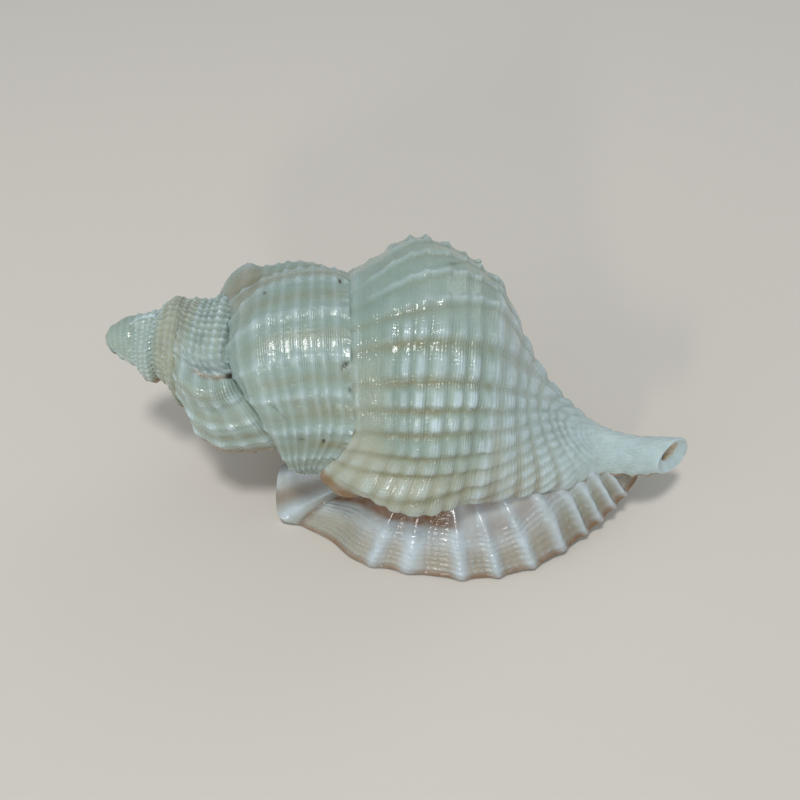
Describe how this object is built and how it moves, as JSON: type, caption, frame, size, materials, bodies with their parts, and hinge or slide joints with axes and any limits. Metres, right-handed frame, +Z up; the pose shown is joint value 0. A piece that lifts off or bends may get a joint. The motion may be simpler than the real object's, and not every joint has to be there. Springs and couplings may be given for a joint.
{
  "type": "distorsio shell",
  "caption": "Knobbly cream sea snail shell with lopsided whorls, a flared ribbed lip and a short siphon canal, lying mouth down.",
  "frame": {"origin": "on the surface that the shell rests on, under the middle of its bounding box", "axes": "+X runs from the pointed apex to the tip of the siphon canal, +Z is up, and the flared lip is toward -Y"},
  "size_m": [0.0594, 0.028, 0.0265],
  "materials": {
    "shell": "satin"
  },
  "bodies": {
    "root": {"shell": "shell"}
  },
  "joints": []
}
